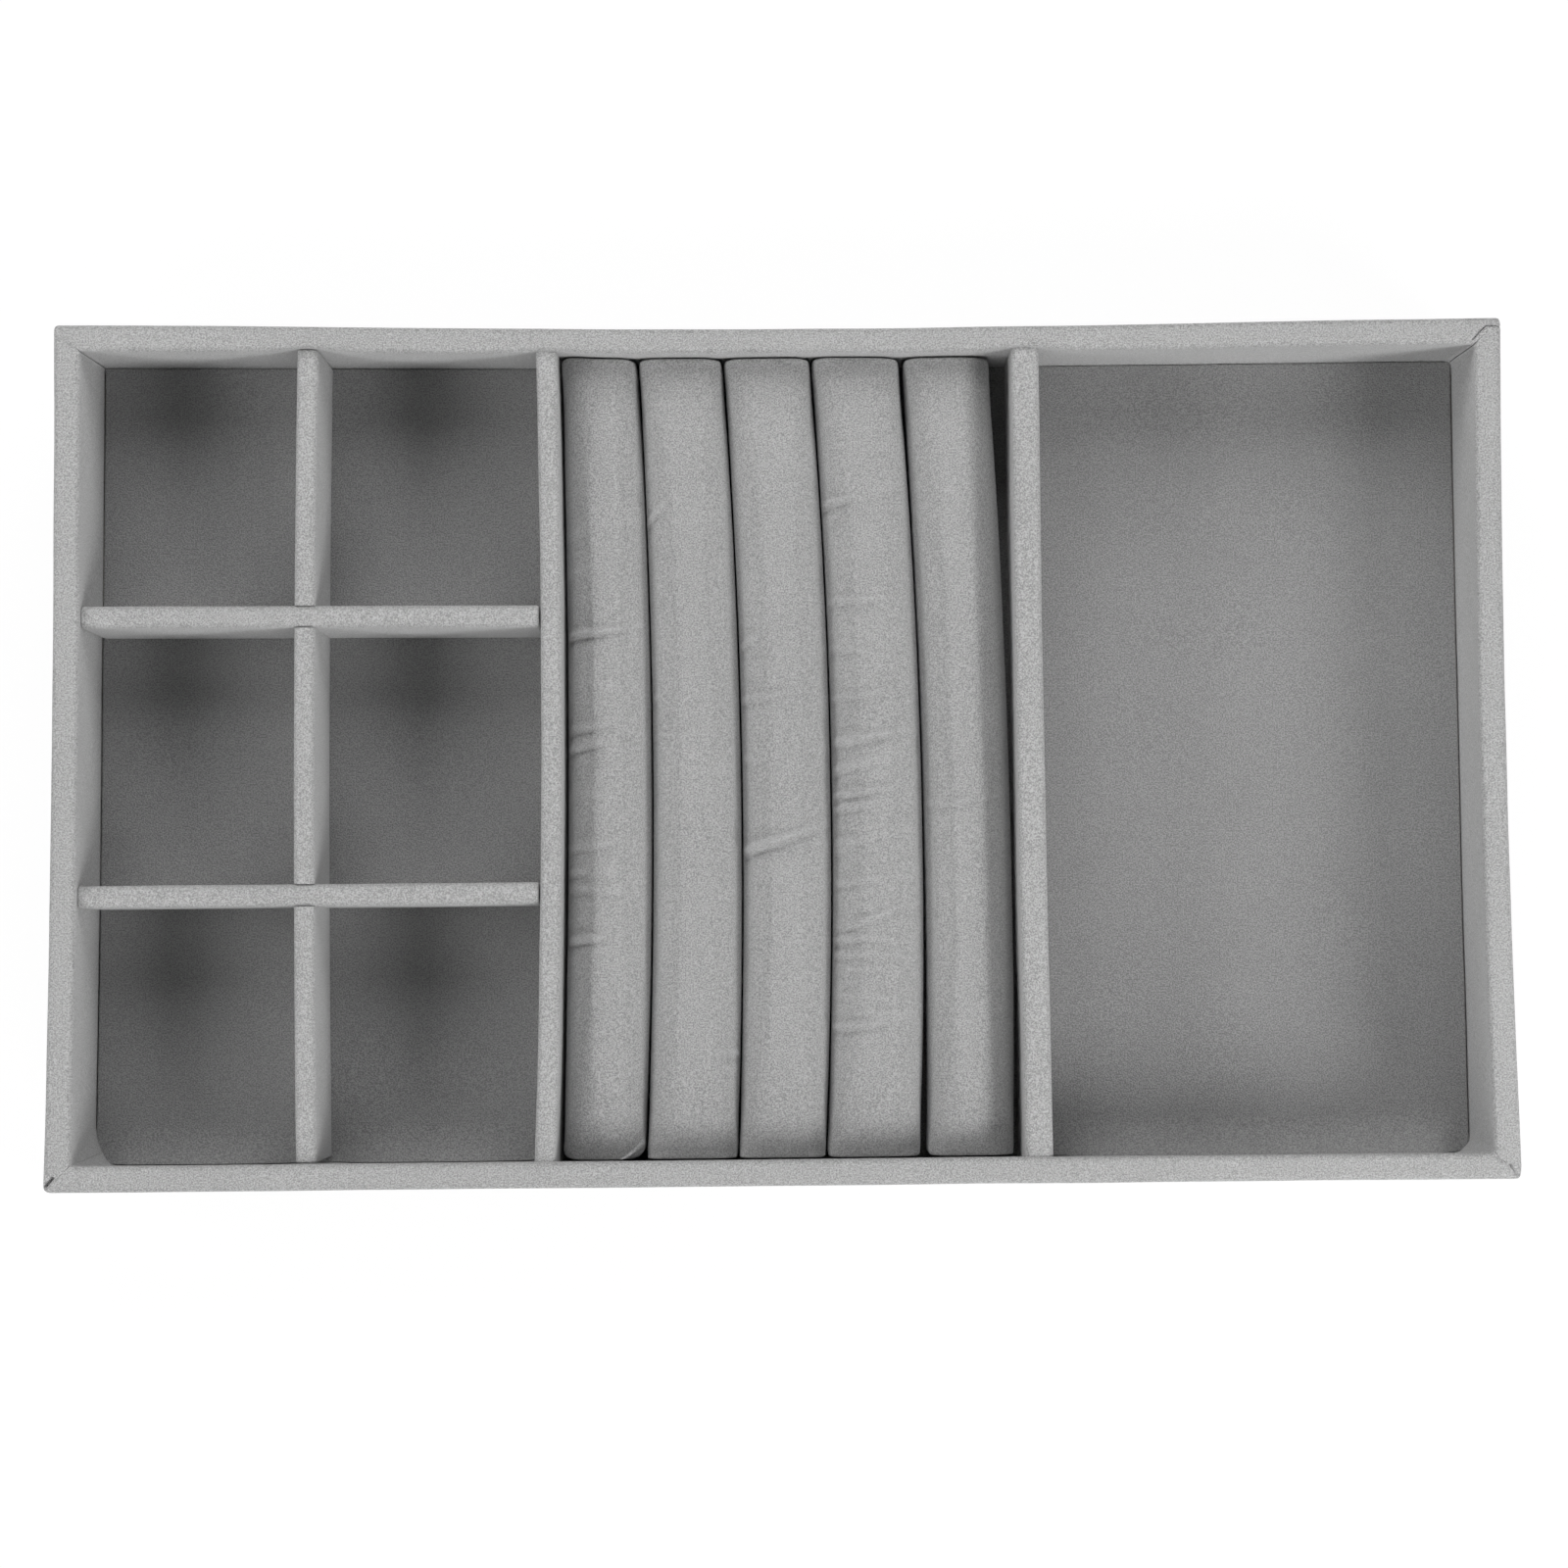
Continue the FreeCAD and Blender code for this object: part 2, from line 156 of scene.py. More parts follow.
def settle(point):
    x, y, z = point
    rise = held((z - floorTop) / (rimTop - floorTop))
    x, y = roundCorner(x, y, rise)
    acrossX = held((x / halfLength + 1) / 2)
    acrossY = held((y / halfWidth + 1) / 2)
    shift = [0.0, 0.0]
    for way in (0, 1):
        rear = between(handmade["rearLeft"][way], handmade["rearRight"][way], acrossX)
        front = between(handmade["frontLeft"][way], handmade["frontRight"][way], acrossX)
        shift[way] = between(front, rear, acrossY)
    nearX = held(abs(x) / halfLength)
    nearY = held(abs(y) / halfWidth)
    if y > 0:
        shift[1] -= between(*handmade["rearBow"], rise) * (1 - nearX ** 2) ** handmade["bowPower"] * nearY
        push = sum(amount * math.exp(-((x - place) / run) ** 2) for place, amount, run in pushes)
        reached = held((y / innerWidth - handmade["pushFrom"]) / (1 - handmade["pushFrom"]))
        shift[1] += push * rise * held((halfWidth - y) / wallDepth) * reached
    bow = handmade["rightBow"] if x > 0 else handmade["leftBow"]
    shift[0] -= math.copysign(between(*bow, rise) * (1 - nearY ** 2) * nearX, x)
    lean = handmade["rearLean"] if y > 0 else handmade["frontLean"]
    part = abs(y) / innerWidth if abs(y) < innerWidth else (halfWidth - abs(y)) / wallDepth
    foot = held((z - boardLow) / (floorTop - boardLow))
    shift[1] += math.copysign(lean * (1 - rise) * held(part) * foot, y)
    wave = noise.noise_vector(Vector(point) / handmade["rippleSize"]) * handmade["ripple"]
    return Vector((x + shift[0] + wave.x, y + shift[1] + wave.y, z + wave.z * foot))


def clearSelection():
    if bpy.context.object and bpy.context.object.mode != "OBJECT":
        bpy.ops.object.mode_set(mode="OBJECT")
    bpy.ops.object.select_all(action="DESELECT")


def pickPiece(piece):
    clearSelection()
    piece.select_set(True)
    bpy.context.view_layer.objects.active = piece


def startBlock(name, low, high):
    clearSelection()
    bpy.ops.mesh.primitive_cube_add(size=1, location=[(a + b) / 2 for a, b in zip(low, high)])
    block = bpy.context.object
    block.name = name
    block.scale = [b - a for a, b in zip(low, high)]
    bpy.ops.object.transform_apply(location=True, rotation=True, scale=True)
    return block


def openMesh(piece):
    pickPiece(piece)
    bpy.ops.object.mode_set(mode="EDIT")
    bpy.ops.mesh.select_all(action="SELECT")


def closeMesh():
    bpy.ops.object.mode_set(mode="OBJECT")


def pickFaces(piece, test):
    bpy.ops.mesh.select_mode(type="FACE")
    bpy.ops.mesh.select_all(action="DESELECT")
    cage = bmesh.from_edit_mesh(piece.data)
    for face in cage.faces:
        if test(face.calc_center_median(), face.normal):
            face.select_set(True)
    bmesh.update_edit_mesh(piece.data)


def pickEdges(piece, test):
    bpy.ops.mesh.select_mode(type="EDGE")
    bpy.ops.mesh.select_all(action="DESELECT")
    cage = bmesh.from_edit_mesh(piece.data)
    for edge in cage.edges:
        if test(edge.verts[0].co, edge.verts[1].co):
            edge.select_set(True)
    bmesh.update_edit_mesh(piece.data)


def slicePiece(place, normal, **options):
    bpy.ops.mesh.select_all(action="SELECT")
    bpy.ops.mesh.bisect(plane_co=place, plane_no=normal, **options)


def sliceAcross(axis, stop):
    place, normal = [0, 0, 0], [0, 0, 0]
    place[axis], normal[axis] = stop, 1
    slicePiece(place, normal)


def roundEdges(radius, segments):
    bpy.ops.mesh.bevel(offset=radius, segments=segments, profile=0.5, affect="EDGES")


def level(value, wanted):
    return abs(value - wanted) < sameSpot


def along(axis):
    return lambda a, b: all(level(a[i], b[i]) for i in range(3) if i != axis)


def settlePiece(piece, extra=None):
    for corner in piece.data.vertices:
        moved = settle(corner.co)
        corner.co = moved + extra(corner.co) if extra else moved
    piece.data.update()


def smoothPiece(piece, degrees=40):
    pickPiece(piece)
    bpy.ops.object.shade_smooth_by_angle(angle=math.radians(degrees))


def hangOn(piece, body, slotName, finish, *nodes):
    piece.data.materials.clear()
    piece.data.materials.append(finish)
    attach(piece, body)
    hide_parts(*nodes)


# napped cloth: short fibres that catch the light, softer clumps and brushed patches
napLook = {
    "scales": {"Fibre": 2900.0, "Clump": 1000.0, "Brushing": 45.0},
    "toneShares": {"Fibre": 1.9, "Clump": 0.3, "Brushing": 0.14},
    "heightShares": {"Fibre": 0.75, "Clump": 0.25},
    "details": {"Fibre": 1.0, "Clump": 1.0, "Brushing": 3.0},
    "middleTone": 0.5,
}


def makeNap():
    group = bpy.data.node_groups.new("cloth nap", "ShaderNodeTree")
    addSocket = group.interface.new_socket
    for ending, values in (("", napLook["scales"]), (" Share", napLook["toneShares"])):
        for title, value in values.items():
            socket = addSocket(name=title + ending, in_out="INPUT", socket_type="NodeSocketFloat")
            socket.default_value = value
    for title in ("Tone", "Height"):
        addSocket(name=title, in_out="OUTPUT", socket_type="NodeSocketFloat")
    source = group.nodes.new("NodeGroupInput")
    result = group.nodes.new("NodeGroupOutput")
    place = group.nodes.new("ShaderNodeTexCoord")
    link = group.links.new

    def cloudAt(scale, detail):
        node = group.nodes.new("ShaderNodeTexNoise")
        node.inputs["Detail"].default_value = detail
        link(place.outputs["Object"], node.inputs["Vector"])
        link(source.outputs[scale], node.inputs["Scale"])
        return node.outputs["Fac"]

    def sums(operation, first, second):
        node = group.nodes.new("ShaderNodeMath")
        node.operation = operation
        for spot, value in enumerate((first, second)):
            if isinstance(value, float):
                node.inputs[spot].default_value = value
            else:
                link(value, node.inputs[spot])
        return node.outputs[0]

    clouds = {title: cloudAt(title, detail) for title, detail in napLook["details"].items()}
    tone = napLook["middleTone"]
    for title, cloud in clouds.items():
        swing = sums("SUBTRACT", cloud, napLook["middleTone"])
        tone = sums("ADD", sums("MULTIPLY", swing, source.outputs[title + " Share"]), tone)
    link(tone, result.inputs["Tone"])
    heights = [sums("MULTIPLY", clouds[title], share) for title, share in napLook["heightShares"].items()]
    link(sums("ADD", *heights), result.inputs["Height"])
    return group


# what all the cloths share
pileLook = {
    "sheen": 0.4, "sheenRoughness": 0.5, "specular": 0.15, "depth": 0.0008,
    "darkTone": 0.2, "lightTone": 0.8, "darkRoughness": 0.98, "lightRoughness": 0.84,
}
# each cloth: lowest and highest shade, how deep the nap stands
clothLook = {
    "wall cloth": {"dark": 0.345, "light": 0.635, "relief": 0.45},
    "floor cloth": {"dark": 0.24, "light": 0.43, "relief": 0.45},
    "roll cloth": {"dark": 0.31, "light": 0.57, "relief": 0.45,
                   "paintedHighlight": 0.4},  # painted highlight along the crease ridges, added to the nap tone
    "underside felt": {"dark": 0.12, "light": 0.27, "relief": 0.8},
}
# bare board and card: piece, darkest and lightest colour, how deep and how fine the grain is
boardLook = {
    "fibreboard": {"piece": "base_board", "dark": (0.33, 0.22, 0.13), "light": (0.5, 0.37, 0.24),
                   "relief": 0.2, "grain": 700.0},
    "grey card": {"piece": "floor_card", "dark": (0.35, 0.33, 0.3), "light": (0.45, 0.43, 0.39),
                  "relief": 0.1, "grain": 900.0},
}


def makeCloth(name, dark, light, relief, paintedHighlight=0.0, grain=None):
    finish = bpy.data.materials.new(name)
    finish.use_nodes = True
    nodes = finish.node_tree.nodes
    link = finish.node_tree.links.new
    cloth = nodes["Principled BSDF"]
    cloth.inputs["Sheen Weight"].default_value = pileLook["sheen"]
    cloth.inputs["Sheen Roughness"].default_value = pileLook["sheenRoughness"]
    cloth.inputs["Specular IOR Level"].default_value = pileLook["specular"]
    pile = nodes.new("ShaderNodeGroup")
    pile.node_tree = nap
    if grain:
        pile.inputs["Fibre"].default_value = grain
    shade = nodes.new("ShaderNodeValToRGB")
    shade.color_ramp.elements[0].position = pileLook["darkTone"]
    shade.color_ramp.elements[1].position = pileLook["lightTone"]
    shade.color_ramp.elements[0].color = (*dark, 1)
    shade.color_ramp.elements[1].color = (*light, 1)
    tone = pile.outputs["Tone"]
    # painted highlight: the roll's highlight attribute lightens the tone along the crease ridges
    if paintedHighlight:
        paintedHighlights = nodes.new("ShaderNodeAttribute")
        paintedHighlights.attribute_name = "paintedHighlight"
        highlightAdd = nodes.new("ShaderNodeMath")
        highlightAdd.operation = "MULTIPLY_ADD"
        highlightAdd.inputs[1].default_value = paintedHighlight
        link(paintedHighlights.outputs["Fac"], highlightAdd.inputs[0])
        link(tone, highlightAdd.inputs[2])
        tone = highlightAdd.outputs[0]
    link(tone, shade.inputs["Fac"])
    link(shade.outputs["Color"], cloth.inputs["Base Color"])
    matt = nodes.new("ShaderNodeMapRange")
    matt.inputs["To Min"].default_value = pileLook["darkRoughness"]
    matt.inputs["To Max"].default_value = pileLook["lightRoughness"]
    link(pile.outputs["Tone"], matt.inputs["Value"])
    link(matt.outputs["Result"], cloth.inputs["Roughness"])
    bump = nodes.new("ShaderNodeBump")
    bump.inputs["Strength"].default_value = relief
    bump.inputs["Distance"].default_value = pileLook["depth"]
    link(pile.outputs["Height"], bump.inputs["Height"])
    link(bump.outputs["Normal"], cloth.inputs["Normal"])
    return finish


nap = makeNap()
wallCloth, floorCloth, rollCloth, undersideFelt = (
    makeCloth(name, [look["dark"]] * 3, [look["light"]] * 3, look["relief"], look.get("paintedHighlight", 0.0))
    for name, look in clothLook.items())
for name, look in boardLook.items():
    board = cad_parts[look["piece"]]
    grained = makeCloth(name, look["dark"], look["light"], look["relief"], grain=look["grain"])
    board.data.materials.clear()
    board.data.materials.append(grained)
print("cloth made")


# covered walls: cloth over the board, hem turned under, lining down the inner face, mitred corners
wallLook = {
    "rimRadius": 0.0015, "rimSteps": 5, "footRadius": 0.001, "footSteps": 3,
    "seamGap": 0.00002, "seamRadius": 0.00014, "seamSteps": 2,
    "slit": 0.00017, "slitDepth": 0.0008, "slitReach": 0.0004,
    "cornerCut": 0.0004, "cornerRun": 0.0105, "rimCuts": 6, "cutsUp": 10, "cutsAlong": 99, "fineCuts": 2,
    "tallEdge": 0.02, "longEdge": 0.05, "wideEdge": 0.0015,  # edges longer than these are cut up
    "flatAngle": 1,  # degrees
    "rimBand": 0.002, "tuckBand": 0.003,  # how far down from the top the rim is cut fine, and tucked
}


def buildWall(side, halfRun, reach, quarterTurns, slitEnds):
    inner = reach - wallDepth
    core = inner + clothDepth
    hem = reach - (halfWidth - hemReach)
    wall = startBlock(side + "_wall_cover", (-halfRun, core, hemLow), (halfRun, reach, rimTop))
    openMesh(wall)
    slicePiece((0, 0, boardLow), (0, 0, 1))
    slicePiece((0, 0, boardHigh), (0, 0, 1))
    pickFaces(wall, lambda middle, normal: normal.y < -facing["square"] and middle.z < boardLow)
    bpy.ops.mesh.extrude_region_move(TRANSFORM_OT_translate={"value": (0, hem - core, 0)})
    pickFaces(wall, lambda middle, normal: normal.y < -facing["square"] and middle.z > boardHigh)
    bpy.ops.mesh.extrude_region_move(TRANSFORM_OT_translate={"value": (0, -clothDepth, 0)})
    bpy.ops.mesh.select_all(action="SELECT")
    bpy.ops.mesh.dissolve_limited(angle_limit=math.radians(wallLook["flatAngle"]))
    lengthwise = along(0)
    pickEdges(wall, lambda a, b: lengthwise(a, b) and level(a.z, rimTop))
    roundEdges(wallLook["rimRadius"], wallLook["rimSteps"])
    pickEdges(wall, lambda a, b: lengthwise(a, b) and level(a.z, hemLow) and level(a.y, reach))
    roundEdges(wallLook["footRadius"], wallLook["footSteps"])
    rimInner, rimOuter = inner + wallLook["rimRadius"], reach - wallLook["rimRadius"]
    for step in range(1, wallLook["rimCuts"]):
        sliceAcross(1, between(rimInner, rimOuter, step / wallLook["rimCuts"]))
    for step in range(1, round(wallLook["cornerRun"] / wallLook["cornerCut"]) + 1):
        for way in (-1, 1):
            sliceAcross(0, way * (halfRun - step * wallLook["cornerCut"]))
    for way in (-1, 1):
        seam = (way * (halfRun - wallLook["seamGap"]), reach, 0)
        slicePiece(seam, (way, -1, 0), use_fill=True, clear_outer=True)
    pickFaces(wall, lambda middle, normal: min(abs(normal.x), abs(normal.y)) > facing["mitre"])
    bpy.ops.mesh.region_to_loop()
    roundEdges(wallLook["seamRadius"], wallLook["seamSteps"])
    pickEdges(wall, lambda a, b: abs(a.z - b.z) > wallLook["tallEdge"])
    bpy.ops.mesh.subdivide(number_cuts=wallLook["cutsUp"])
    pickEdges(wall, lambda a, b: abs(a.x - b.x) > wallLook["longEdge"])
    bpy.ops.mesh.subdivide(number_cuts=wallLook["cutsAlong"])
    pickEdges(wall, lambda a, b: abs(a.x - b.x) > wallLook["wideEdge"])
    bpy.ops.mesh.subdivide(number_cuts=wallLook["fineCuts"])
    cornerStart, bandLow = halfRun - wallLook["cornerRun"], rimTop - wallLook["rimBand"]
    inCorner = lambda middle: abs(middle.x) > cornerStart and middle.z > bandLow
    pickFaces(wall, lambda middle, normal: normal.z > facing["up"] and inCorner(middle))
    bpy.ops.mesh.subdivide(number_cuts=wallLook["fineCuts"])
    closeMesh()
    slitStart = halfRun - wallDepth - wallLook["slitReach"]
    for point in wall.data.vertices:  # the two linings don't quite meet in the corner
        x, y = point.co.xy
        way = 1 if x > 0 else -1
        if way in slitEnds and y < inner + wallLook["slitDepth"] and abs(x) > slitStart:
            point.co.x -= way * wallLook["slit"]
    wall.rotation_euler.z = quarterTurns * math.pi / 2
    bpy.ops.object.transform_apply(location=True, rotation=True, scale=True)
    settlePiece(wall)
    for corner in wall.data.vertices:
        if corner.co.z > rimTop - wallLook["tuckBand"]:
            corner.co.z -= tuckDepth(corner.co.x, corner.co.y)
    smoothPiece(wall)
    hangOn(wall, "tray", "wall_cloth", wallCloth, side + "_wall_wrap", side + "_wall_board")


for side, halfRun, reach, quarterTurns, slitEnds in (
    ("rear", halfLength, halfWidth, 0, (-1, 1)), ("left", halfWidth, halfLength, 1, (1,)),
    ("front", halfLength, halfWidth, 2, ()), ("right", halfWidth, halfLength, 3, (-1,)),
):
    buildWall(side, halfRun, reach, quarterTurns, slitEnds)
print("walls covered")


# floor panel: soft cloth sheet laid on the card, rounded corners, a thin dark seam round it
floorLook = {
    "gap": 0.0003, "edgeRadius": 0.0002, "edgeSteps": 2,
    "cut": 0.006, "cornerRun": 0.0102, "cornerCut": 0.0006,
    # the front edge curls up in the three open bays: how high, how far in, how it fades at the sides,
    # and how far it is pushed forward
    "curls": (0.0026, 0.0028, 0.005), "curlRun": 0.0098, "curlFade": 0.006, "curlStart": 0.3,
    "curlPush": 0.03,
}
leftBox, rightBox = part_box("left_divider_wrap"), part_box("right_divider_wrap")
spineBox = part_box("grid_spine_wrap")
openSpans = ((-innerLength, spineBox[0].x), (spineBox[1].x, leftBox[0].x), (rightBox[1].x, innerLength))


def curlLift(x, y):
    share = held(1 - (y + innerWidth) / floorLook["curlRun"])
    lift = 0.0
    for (low, high), curl in zip(openSpans, floorLook["curls"]):
        inside = min(x - low, high - x) / floorLook["curlFade"]
        lift += curl * share ** 2 * held(inside - floorLook["curlStart"])
    return lift


def buildFloor():
    reachX, reachY = innerLength - floorLook["gap"], innerWidth - floorLook["gap"]
    panel = startBlock("floor_panel", (-reachX, -reachY, floorTop - clothDepth), (reachX, reachY, floorTop))
    openMesh(panel)
    pickEdges(panel, lambda a, b: level(a.z, floorTop) and level(b.z, floorTop))
    roundEdges(floorLook["edgeRadius"], floorLook["edgeSteps"])
    cornerCuts = round(floorLook["cornerRun"] / floorLook["cornerCut"])
    for axis, reach in ((0, reachX), (1, reachY)):
        inside = reach - floorLook["cornerRun"]
        count = round(2 * inside / floorLook["cut"])
        stops = [between(-inside, inside, step / count) for step in range(count + 1)]
        for way in (-1, 1):
            stops += [way * (reach - step * floorLook["cornerCut"]) for step in range(1, cornerCuts)]
        for stop in stops:
            sliceAcross(axis, stop)
    closeMesh()
    settlePiece(panel, extra=lambda p: Vector((0, -floorLook["curlPush"], 1)) * curlLift(p.x, p.y))
    smoothPiece(panel)
    hangOn(panel, "tray", "floor_cloth", floorCloth, "floor_lining")


# felt under the tray: one cut sheet with soft edges, inside the turned-in hems
feltLook = {
    "edgeRadius": 0.0003, "edgeSteps": 2, "cornerRadius": 0.002, "cornerSteps": 4,
    "cut": 0.008, "ripple": 0.00008,
}


def buildFelt():
    low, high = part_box("base_liner")
    felt = startBlock("base_felt", low, high)
    openMesh(felt)
    pickEdges(felt, along(2))
    roundEdges(feltLook["cornerRadius"], feltLook["cornerSteps"])
    pickEdges(felt, lambda a, b: level(a.z, low.z) and level(b.z, low.z))
    roundEdges(feltLook["edgeRadius"], feltLook["edgeSteps"])
    for axis in (0, 1):
        count = round((high[axis] - low[axis]) / feltLook["cut"])
        for step in range(1, count):
            sliceAcross(axis, between(low[axis], high[axis], step / count))
    closeMesh()
    for corner in felt.data.vertices:
        corner.co.z += held(noise.noise(corner.co / handmade["rippleSize"]), 0) * feltLook["ripple"]
    smoothPiece(felt)
    hangOn(felt, "tray", "underside_felt", undersideFelt, "base_liner")


buildFloor()
buildFelt()
print("floor laid")


# dividers and grid strips: cloth folded over a thin board, soft along the top
stripLook = {
    "topRadius": 0.0014, "topSteps": 5, "endSteps": 3, "cut": 0.005, "cutsUp": 6,
    # where two strips cross: the gap, the wider one beside the spine, how far the cutters stand out
    "lapGap": 0.00004, "lapRoom": 0.00012, "lapOut": 0.01, "lapOver": 0.001,
}


def buildStrip(name, low, high, axis, endRadius=0.0):
    strip = startBlock(name, low, high)
    openMesh(strip)
    lengthwise = along(axis)
    pickEdges(strip, lambda a, b: lengthwise(a, b) and level(a.z, high[2]))
    roundEdges(stripLook["topRadius"], stripLook["topSteps"])
    if endRadius:
        pickFaces(strip, lambda middle, normal: abs(normal[axis]) > facing["square"])
        bpy.ops.mesh.region_to_loop()
        roundEdges(endRadius, stripLook["endSteps"])
    count = round((high[axis] - low[axis]) / stripLook["cut"])
    for step in range(1, count):
        sliceAcross(axis, between(low[axis], high[axis], step / count))
    for step in range(1, stripLook["cutsUp"]):
        sliceAcross(2, between(low[2], high[2], step / stripLook["cutsUp"]))
    closeMesh()
    return strip


def cutLap(strip, low, high):
    cutter = startBlock("lap_cutter", low, high)
    pickPiece(strip)
    bpy.ops.object.modifier_add(type="BOOLEAN")
    strip.modifiers[-1].object = cutter
    bpy.ops.object.modifier_apply(modifier=strip.modifiers[-1].name)
    bpy.data.objects.remove(cutter)


# dividers: how far off the drawn line at the rear, halfway and at the front, and how far each face moves
faceRun = 0.002  # the middle part, over which one face's move turns into the other's
dividerLook = {
    "left": {"bend": (-0.0008, 0.0002, -0.0011), "left": 0.0003, "right": -0.0005},
    "right": {"bend": (-0.0003, 0.0002, 0.0007), "left": 0.0, "right": 0.0007},
}


def bendLine(bend, share):
    rear, halfway, front = bend
    return halfway + (rear - front) / 2 * share + ((rear + front) / 2 - halfway) * share ** 2


for side, box in (("left", leftBox), ("right", rightBox)):
    look = dividerLook[side]
    divider = buildStrip(side + "_divider_cover", box[0], box[1], 1)
    middle = middleOf(box, 0)

    def shiftDivider(point):
        bend = bendLine(look["bend"], point.y / innerWidth)
        share = held((point.x - middle) / faceRun + 0.5)
        return Vector((bend + between(look["left"], look["right"], share), 0, 0))

    settlePiece(divider, extra=shiftDivider)
    smoothPiece(divider)
    hangOn(divider, "tray", "wall_cloth", wallCloth, side + "_divider_wrap", side + "_divider_board")

# the grid lies a little crooked: where the cross strips end, and how far they sit from square
gridLook = {
    "spineBend": (0.0003, -0.0007, -0.0003), "spineEnd": 0.0004, "spineStretch": 1.005,
    "crossEnd": 0.0005, "fatness": 1.05,
    "rear_cross": {"shift": 0.00015, "left": -0.1627, "right": -0.0559, "tilt": -0.0041},
    "front_cross": {"shift": -0.00035, "left": -0.16345, "right": -0.0562, "tilt": 0.0014},
}
spineMiddle = middleOf(spineBox, 0)
spineHalf = spineBox[1].x - spineMiddle
lapHeight = middleOf(spineBox, 2)
spine = buildStrip("grid_spine_cover", spineBox[0], spineBox[1], 1, gridLook["spineEnd"])
for corner in spine.data.vertices:  # upright ends, so that it lifts out past the rims
    corner.co.x += bendLine(gridLook["spineBend"], corner.co.y / innerWidth)
    corner.co.y = settle((spineMiddle, corner.co.y * gridLook["spineStretch"], rimTop)).y
for row in ("rear_cross", "front_cross"):
    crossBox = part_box(row + "_wrap")
    crossMiddle = middleOf(crossBox, 1)
    crossHalf = (crossBox[1].y - crossMiddle) * gridLook["fatness"]
    look = gridLook[row]
    cross = buildStrip(row + "_cover", crossBox[0], crossBox[1], 0, gridLook["crossEnd"])
    for corner in cross.data.vertices:
        share = (corner.co.x - crossBox[0].x) / (crossBox[1].x - crossBox[0].x)
        wave = noise.noise_vector(corner.co / handmade["rippleSize"]) * handmade["ripple"]
        corner.co.x = between(look["left"], look["right"], share)
        corner.co.y = crossMiddle + look["shift"] + (corner.co.y - crossMiddle) * gridLook["fatness"]
        corner.co.y += look["tilt"] * (corner.co.x - spineMiddle) + wave.y
        corner.co.z += wave.z
    middle = crossMiddle + look["shift"]
    lapMiddle = spineMiddle + bendLine(gridLook["spineBend"], middle / innerWidth)
    lapHalf, out = spineHalf + stripLook["lapRoom"], stripLook["lapOut"]
    room = crossHalf + stripLook["lapGap"]
    cutLap(cross, (lapMiddle - lapHalf, middle - out, 0),
           (lapMiddle + lapHalf, middle + out, lapHeight + stripLook["lapGap"]))
    cutLap(spine, (lapMiddle - out, middle - room, lapHeight - stripLook["lapGap"]),
           (lapMiddle + out, middle + room, rimTop + stripLook["lapOver"]))
    smoothPiece(cross)
    hangOn(cross, row, "wall_cloth", wallCloth, row + "_wrap", row + "_board")
smoothPiece(spine)
hangOn(spine, "grid_spine", "wall_cloth", wallCloth, "grid_spine_wrap", "grid_spine_board")
print("dividers and grid in")


# ring rolls: cloth sleeves on foam, blown up by a short cloth simulation, then creased
rollLook = {
    "top": 0.0314, "shoulder": 0.0048, "shoulderShare": 0.92, "foot": 0.001, "edge": 0.002,
    "shoulderSteps": 10, "edgeSteps": 4, "footSteps": 3,
    # the front end droops and the outer rolls fall away on the side where they are free
    "droopSlope": 0.42, "droopRun": 0.009, "droopSoft": 0.002,
    "outerFall": {1: (0.0008, 0.0), 5: (0.0, 0.0036)},
    # small radii at the ends, left and right, and room round each roll
    "frontTop": 0.0004, "rearTop": 0.0003, "endRun": 0.003, "rearCorner": 0.001,
    "frontCorners": ((0.0022, 0.0032), (0.0004, 0.0005), (0.0004, 0.0005),
                     (0.0011, 0.0009), (0.0014, 0.0004)),
    "gap": 0.0002, "frontGap": -0.0003, "rearGap": -0.0001,
    "voxel": 0.002, "smoothing": 0.5, "smoothPasses": 2, "splits": 2, "bands": 380, "softAngle": 80,
    "pressure": 4.0, "frames": 16, "swell": 0.0007, "restBand": 0.0015, "fill": 0.8,
    # millimetres from the middle to each roll's left and right side: rear, halfway, front
    "sides": (((-51.05, -50.15, -51.3), (-32.5, -30.1, -31.5)),
              ((-32.5, -30.1, -31.35), (-12.25, -9.05, -9.8)),
              ((-12.25, -9.05, -9.8), (8.55, 12.1, 11.05)),
              ((8.55, 12.1, 11.05), (29.6, 33.6, 33.2)),
              ((30.1, 33.65, 34.2), (51.0, 54.5, 55.05))),
    "lineStops": (86.0, 2.0, -81.0),
    "uneven": 0.00012, "unevenSize": 0.012,
}
# fine wrinkles across the rolls: height on each roll, where along the roll, their length, spacing and slant
wrinkleLook = {
    "heights": (0.0003, 0.00008, 0.00022, 0.0005, 0.00014), "middle": -0.014, "reach": 0.06,
    "length": 0.011, "spacing": 0.0021, "slant": 0.25, "nextRoll": 7.3,
}
# how a crease is pinched: a ridge with a hollow in front and a slight one behind, low at the roll's edge,
# and how far toward the rear the painted highlight on each ridge sits
creaseLook = {
    "depth": 2.3, "upright": 0.7, "crownDrop": 0.009, "crownRun": 0.003,
    "edgeShare": 0.65, "edgeRun": 0.35, "reach": 4, "overrun": 0.1, "tailPower": 3, "leadIn": 2,
    "hollow": 0.65, "hollowAway": 1.7, "behind": 0.12, "behindAway": 1.9, "highlightAway": 0.4,
}
